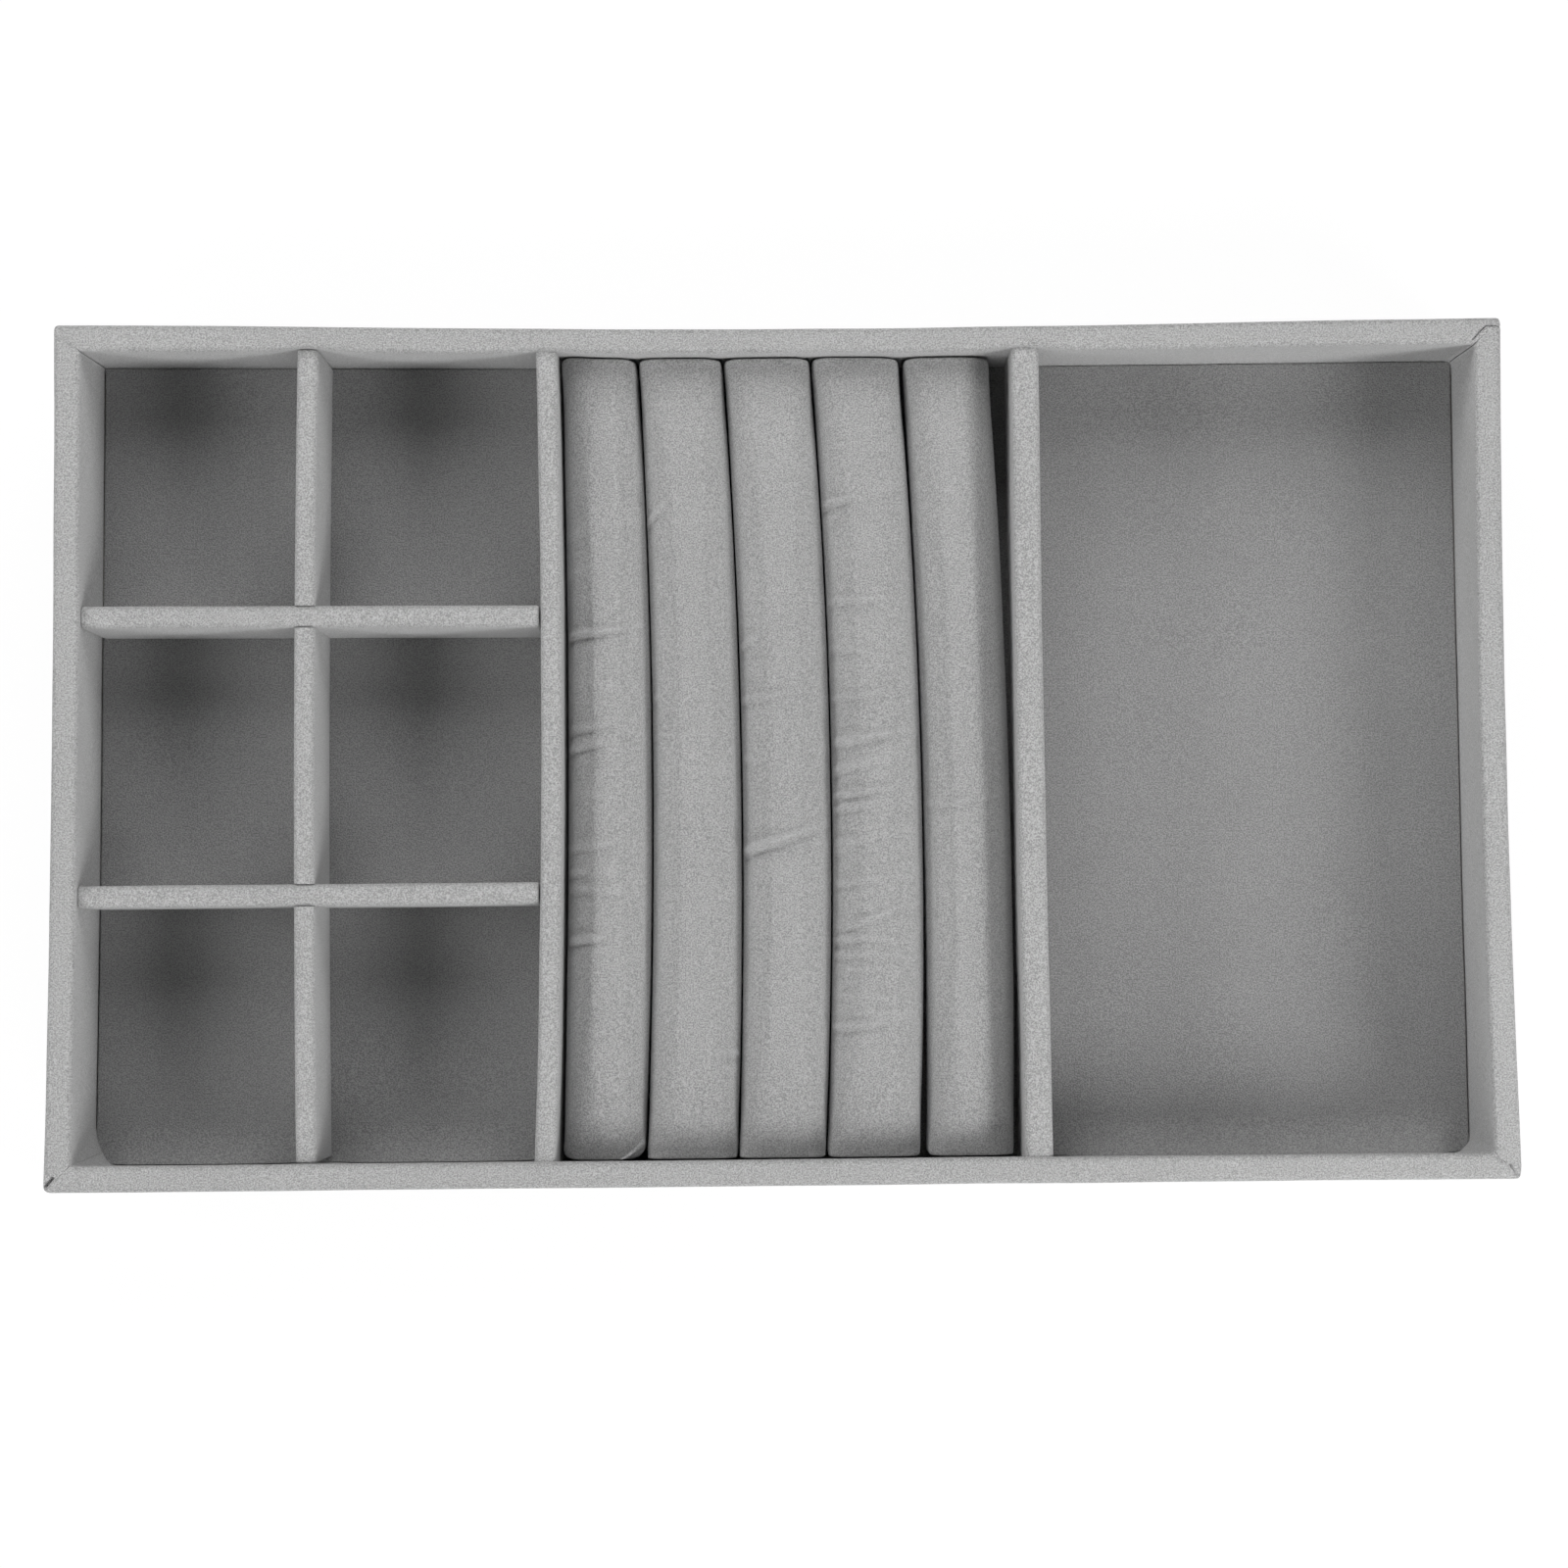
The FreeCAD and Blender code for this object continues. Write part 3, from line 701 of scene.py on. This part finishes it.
# creases: millimetres from the middle, start and end across the roll, climb to the rear, height, half width
rollCreases = {
    1: (
        (28.0, -1.0, 0.9, 2.2, 0.5, 0.8), (5.6, -1.0, 0.8, 3.2, 0.3, 0.9),
        (1.2, -1.0, 0.3, 2.6, 0.42, 0.8), (-9.8, -0.8, 0.5, 0.2, 0.16, 0.9),
        (-22.2, -0.8, 0.9, 3.0, 0.32, 0.8), (-27.8, -1.0, -0.5, 0.3, 0.35, 0.8),
        (-31.6, -1.0, 0.9, -0.3, 0.26, 0.8), (-43.9, -1.0, 0.2, 1.6, 0.48, 0.8),
        (-47.4, 0.9, 0.3, 0.1, 0.16, 0.8), (51.0, -1.0, -0.3, 2.0, 0.2, 1.6),
        (42.0, -1.0, -0.3, 2.0, 0.2, 1.4), (-96.4, 0.5, 1.1, 6.8, 0.5, 0.7),
    ),
    2: (
        (54.6, -1.0, -0.5, 4.6, 0.5, 0.9), (13.0, -1.0, -0.7, 0.5, 0.3, 0.9),
        (4.2, -0.9, 0.5, 1.0, 0.22, 0.6), (-70.4, 1.0, 0.2, 0.6, 0.4, 0.8),
    ),
    3: (
        (24.8, -1.0, -0.5, 3.6, 0.42, 0.9), (12.6, -1.0, 0.7, 2.6, 0.36, 0.8),
        (-1.4, -1.0, -0.7, 0.6, 0.3, 0.9), (-23.0, -1.0, 1.0, 6.8, 0.62, 1.0),
    ),
    4: (
        (58.4, -1.0, 0.0, 2.6, 0.46, 0.8), (35.6, -1.0, 0.4, 1.0, 0.36, 0.8),
        (24.8, -1.0, 0.7, -2.6, 0.3, 0.7), (12.7, -1.0, 0.8, 3.0, 0.34, 0.8),
        (2.4, -1.0, 0.9, 3.3, 0.48, 0.9), (-4.2, -1.0, 0.7, 4.8, 0.36, 0.9),
        (-9.9, -1.0, 0.5, 1.8, 0.34, 0.8), (-13.3, -1.0, 0.3, 2.0, 0.3, 0.8),
        (-21.4, -1.0, 0.9, 4.8, 0.36, 0.9), (-23.4, -1.0, -0.6, 0.5, 0.34, 0.8),
        (-30.8, -0.9, 0.5, 2.8, 0.32, 0.8), (-40.4, -0.6, 0.9, 6.0, 0.32, 0.9),
        (-44.0, -1.0, 0.1, 1.4, 0.36, 0.8), (-47.4, -0.8, 0.8, 0.5, 0.28, 0.8),
        (-50.4, -0.6, 0.7, 0.2, 0.24, 0.8), (-57.2, -0.6, 0.7, 0.2, 0.26, 0.8),
        (-61.0, -0.6, 0.9, 0.2, 0.24, 0.8), (-64.6, -1.0, 0.8, 2.8, 0.44, 0.8),
    ),
    5: (
        (-12.2, -1.0, 0.9, 1.6, 0.24, 0.7), (-20.6, -0.3, 0.5, 1.0, 0.12, 0.7),
        (-35.9, 1.0, 0.5, 0.1, 0.2, 0.7), (-60.2, 1.0, 0.5, -0.6, 0.2, 0.7),
    ),
}


def rollSides(number, y):
    a, b, c = rollLook["lineStops"]
    y *= millimetres
    sides = []
    for rear, halfway, front in rollLook["sides"][number - 1]:
        line = rear * (y - b) * (y - c) / ((a - b) * (a - c))
        line += halfway * (y - a) * (y - c) / ((b - a) * (b - c))
        line += front * (y - a) * (y - b) / ((c - a) * (c - b))
        sides.append(line / millimetres)
    return sides


def creaseLift(number, share, y):
    lift, highlightAmount = 0.0, 0.0
    look = creaseLook
    y *= millimetres
    for start, begin, end, climb, height, half in rollCreases[number]:
        if abs(y - start) > abs(climb) + look["reach"] * half:
            continue
        way = (share - begin) / (end - begin)
        fade = 1 - held(way) ** look["tailPower"] if way > 0 else held(1 + way * look["leadIn"])
        fade *= between(look["edgeShare"], 1.0, held(way * abs(end - begin) / look["edgeRun"]))
        away = (y - start - climb * held(way, -look["overrun"], 1 + look["overrun"])) / half
        ridge = math.exp(-away ** 2)
        ridge -= look["hollow"] * math.exp(-(away + look["hollowAway"]) ** 2)
        ridge -= look["behind"] * math.exp(-(away - look["behindAway"]) ** 2)
        lift += height * fade * ridge
        # painted highlight: a lighter band on each ridge, moved toward its rear side, where the light comes
        # from
        highlightAmount += height * fade * math.exp(-(away - look["highlightAway"]) ** 2)
    return lift / millimetres, highlightAmount


def wrinkleLift(number, point):
    share = 1 - ((point.y - wrinkleLook["middle"]) / wrinkleLook["reach"]) ** 2
    row = (point.y - point.x * wrinkleLook["slant"]) / wrinkleLook["spacing"]
    spot = Vector((point.x / wrinkleLook["length"], row, number * wrinkleLook["nextRoll"]))
    return wrinkleLook["heights"][number - 1] * held(share) * noise.noise(spot)


def stuffRoll(roll):
    before = [corner.co.copy() for corner in roll.data.vertices]
    restTop = min(corner.z for corner in before) + rollLook["restBand"]
    resting = roll.vertex_groups.new(name="resting")
    resting.add([i for i, corner in enumerate(before) if corner.z < restTop], 1.0, "REPLACE")
    bpy.ops.object.modifier_add(type="CLOTH")
    cloth = roll.modifiers[-1]
    cloth.settings.use_pressure = True
    cloth.settings.uniform_pressure_force = rollLook["pressure"]
    cloth.settings.effector_weights.gravity = 0
    cloth.settings.vertex_group_mass = "resting"
    cloth.point_cache.frame_start = 1
    cloth.point_cache.frame_end = rollLook["frames"]
    for step in range(1, rollLook["frames"] + 1):
        bpy.context.scene.frame_set(step)
    bpy.ops.object.modifier_apply(modifier=cloth.name)
    bpy.context.scene.frame_set(1)
    roll.vertex_groups.clear()
    for corner, start in zip(roll.data.vertices, before):  # the foam lets the sleeve swell only so far
        swell = corner.co - start
        if swell.length > rollLook["swell"]:
            corner.co = start + swell * (rollLook["swell"] / swell.length)


def notch(away, radius):
    if away >= radius:
        return 0.0
    return radius - math.sqrt(radius ** 2 - (radius - max(away, 0)) ** 2)


def rollShape(number, share, y):
    fromFront = y + innerWidth - rollLook["frontGap"]
    fromRear = innerWidth - rollLook["rearGap"] - y
    leftCorner, rightCorner = rollLook["frontCorners"][number - 1]
    left, right = rollSides(number, y)
    left += rollLook["gap"] + notch(fromFront, leftCorner) + notch(fromRear, rollLook["rearCorner"])
    right -= rollLook["gap"] + notch(fromFront, rightCorner) + notch(fromRear, rollLook["rearCorner"])
    ramp = rollLook["droopRun"] - fromFront
    droop = rollLook["droopSlope"] * (ramp + math.hypot(ramp, rollLook["droopSoft"])) / 2
    fall = rollLook["outerFall"].get(number, (0.0, 0.0))[share > 0]
    droop += fall * held(abs(share)) ** 2
    droop += notch(fromFront, rollLook["frontTop"]) + notch(fromRear, rollLook["rearTop"])
    return left, right, rollLook["top"] - droop


# half width and height of the stuffed roll in thin bands along it
def reachBands(points):
    bands = rollLook["bands"]
    widths, tops = [0.0] * bands, [0.0] * bands
    end = max(abs(point.y) for point in points)
    for point in points:
        band = min(int((point.y + end) / (2 * end) * bands), bands - 1)
        widths[band] = max(widths[band], abs(point.x))
        tops[band] = max(tops[band], point.z)
    for values in (widths, tops):
        for band in range(1, bands):
            values[band] = values[band] or values[band - 1]
    return end, widths, tops


def bandValue(values, place):
    place = held(place * len(values) - 0.5, 0, len(values) - 1)
    low = min(int(place), len(values) - 2)
    return between(values[low], values[low + 1], place - low)


def buildRoll(number):
    name = "ring_roll_" + str(number)
    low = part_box(name + "_sleeve")[0].z
    left, right = rollSides(number, 0)
    half = (right - left) / 2
    roll = startBlock(name + "_cushion", (-half, -innerWidth, low), (half, innerWidth, rollLook["top"]))
    openMesh(roll)
    lengthwise = along(1)
    pickEdges(roll, lambda a, b: lengthwise(a, b) and level(a.z, rollLook["top"]))
    roundEdges(min(rollLook["shoulder"], rollLook["shoulderShare"] * half), rollLook["shoulderSteps"])
    atEnd = lambda a, b: level(a.y, b.y) and level(abs(a.y), innerWidth)
    atFoot = lambda a, b: level(a.z, low) and level(b.z, low)
    pickEdges(roll, lambda a, b: atEnd(a, b) and not atFoot(a, b))
    roundEdges(rollLook["edge"], rollLook["edgeSteps"])
    pickEdges(roll, atFoot)
    roundEdges(rollLook["foot"], rollLook["footSteps"])
    closeMesh()
    roll.data.remesh_voxel_size = rollLook["voxel"]
    bpy.ops.object.voxel_remesh()
    openMesh(roll)
    bpy.ops.mesh.vertices_smooth(factor=rollLook["smoothing"], repeat=rollLook["smoothPasses"])
    closeMesh()
    stuffRoll(roll)
    bpy.ops.object.modifier_add(type="SUBSURF")
    roll.modifiers[-1].levels = roll.modifiers[-1].render_levels = rollLook["splits"]
    bpy.ops.object.modifier_apply(modifier=roll.modifiers[-1].name)
    end, widths, tops = reachBands([corner.co for corner in roll.data.vertices])
    bottom = min(corner.co.z for corner in roll.data.vertices)
    shares = []
    for corner in roll.data.vertices:  # the stuffed sleeve is set between the measured lines
        place = (corner.co.y / end + 1) / 2
        share = corner.co.x / bandValue(widths, place)
        rise = (corner.co.z - bottom) / (bandValue(tops, place) - bottom)
        fromEnd = end - abs(corner.co.y)
        fromEnd *= held(fromEnd / rollLook["endRun"])
        gap = rollLook["rearGap"] if corner.co.y > 0 else rollLook["frontGap"]
        y = math.copysign((1 - fromEnd / end) * (innerWidth - gap), corner.co.y)
        left, right, top = rollShape(number, share, y)
        x = between(left, right, (share + 1) / 2)
        corner.co = (x, settle((x, y, rimTop)).y, between(low, top, rise))
        shares.append(share)
    roll.data.update()
    lifts, paintedHighlights = [], []
    for corner, share in zip(roll.data.vertices, shares):
        crown = held((corner.co.z - rollLook["top"] + creaseLook["crownDrop"]) / creaseLook["crownRun"])
        lift, highlightAmount = creaseLift(number, share, corner.co.y) if crown else (0.0, 0.0)
        # painted highlight on the crown of the roll, handed to the roll cloth as a point attribute
        paintedHighlights.append(highlightAmount * crown)
        lift *= creaseLook["depth"] * crown
        uneven = noise.noise(corner.co / rollLook["unevenSize"]) * rollLook["uneven"]
        lift += (uneven + wrinkleLift(number, corner.co)) * crown
        outward = Vector((corner.normal.x, 0, corner.normal.z))
        lifts.append(outward.lerp(Vector((0, 0, 1)), creaseLook["upright"]) * lift)
    for corner, lift in zip(roll.data.vertices, lifts):
        corner.co += lift
    roll.data.attributes.new("paintedHighlight", "FLOAT", "POINT").data.foreach_set("value", paintedHighlights)
    roll.data.update()
    smoothPiece(roll, rollLook["softAngle"])
    hangOn(roll, name, "roll_cloth", rollCloth, name + "_foam", name + "_sleeve")


for number in rollCreases:
    buildRoll(number)
print("ring rolls stuffed")


# white stage floor that keeps a faint shadow, a ring of softboxes, camera from above
stageLook = {"floorSize": 6.0, "floorDrop": 0.0003, "shade": 0.8, "shadowShare": 0.12, "glow": 1.06}


def buildStage():
    clearSelection()
    bpy.ops.mesh.primitive_plane_add(size=stageLook["floorSize"], location=(0, 0, -stageLook["floorDrop"]))
    ground = bpy.context.object
    ground.name = "stage_floor"
    paper = bpy.data.materials.new("white paper")
    paper.use_nodes = True
    nodes = paper.node_tree.nodes
    link = paper.node_tree.links.new
    sheet = nodes["Principled BSDF"]
    sheet.inputs["Base Color"].default_value = (*[stageLook["shade"]] * 3, 1)
    sheet.inputs["Roughness"].default_value = 1.0
    sheet.inputs["Specular IOR Level"].default_value = 0.0
    glow = nodes.new("ShaderNodeEmission")
    glow.inputs["Strength"].default_value = stageLook["glow"]
    path = nodes.new("ShaderNodeLightPath")
    faint = nodes.new("ShaderNodeMixShader")
    seen = nodes.new("ShaderNodeMixShader")
    faint.inputs["Fac"].default_value = 1 - stageLook["shadowShare"]
    link(sheet.outputs["BSDF"], faint.inputs[1])
    link(glow.outputs["Emission"], faint.inputs[2])
    either = nodes.new("ShaderNodeMath")
    either.operation = "MAXIMUM"
    link(path.outputs["Is Camera Ray"], either.inputs[0])
    link(path.outputs["Is Glossy Ray"], either.inputs[1])
    link(either.outputs[0], seen.inputs["Fac"])
    link(sheet.outputs["BSDF"], seen.inputs[1])
    link(faint.outputs["Shader"], seen.inputs[2])
    link(seen.outputs["Shader"], nodes["Material Output"].inputs["Surface"])
    ground.data.materials.append(paper)


buildStage()

lampLook = {
    "size": 0.3, "radius": 0.75, "watts": 2.55,
    # degrees from overhead, degrees round from +X, strength
    "boxes": ((40, 60, 0.32), (40, 120, 0.3), (55, 90, 0.53), (55, 180, 0.46),
              (55, 210, 0.28), (55, 270, 0.2), (55, 330, 0.98), (68, 270, 0.35),
              (145, 60, 0.9), (145, 240, 0.7)),  # these two light the underside when the floor is hidden
}
for number, (tilt, turn, strength) in enumerate(lampLook["boxes"]):
    tilt, turn = math.radians(tilt), math.radians(turn)
    toward = Vector((math.sin(tilt) * math.cos(turn), math.sin(tilt) * math.sin(turn), math.cos(tilt)))
    box = bpy.data.lights.new("softbox_" + str(number + 1), "AREA")
    box.shape = "DISK"
    box.size = lampLook["size"]
    box.energy = lampLook["watts"] * strength
    lamp = bpy.data.objects.new(box.name, box)
    lamp.location = toward * lampLook["radius"]
    lamp.visible_camera = False
    lamp.rotation_euler = toward.to_track_quat("Z", "Y").to_euler()
    bpy.context.scene.collection.objects.link(lamp)

world = bpy.data.worlds.new("studio")
bpy.context.scene.world = world
world.use_nodes = True
skyNodes = world.node_tree.nodes
skyPath = skyNodes.new("ShaderNodeLightPath")
skySeen = skyNodes.new("ShaderNodeMath")
skySeen.operation = "MAXIMUM"
world.node_tree.links.new(skyPath.outputs["Is Camera Ray"], skySeen.inputs[0])
world.node_tree.links.new(skyPath.outputs["Is Glossy Ray"], skySeen.inputs[1])
skyNodes["Background"].inputs["Color"].default_value = (1, 1, 1, 1)
world.node_tree.links.new(skySeen.outputs[0], skyNodes["Background"].inputs["Strength"])

cameraLook = {
    "place": (0.00198, -0.04954, 0.94882), "turn": (2.6413, 0.0762, -0.3948), "lens": 90.0, "sensor": 36.0,
}
camera = bpy.data.objects.new("camera", bpy.data.cameras.new("camera"))
camera.data.lens = cameraLook["lens"]
camera.data.sensor_width = cameraLook["sensor"]
camera.location = cameraLook["place"]
camera.rotation_euler = [math.radians(degrees) for degrees in cameraLook["turn"]]
bpy.context.scene.collection.objects.link(camera)
bpy.context.scene.camera = camera
bpy.context.scene.view_settings.view_transform = "Standard"
print("stage lit")
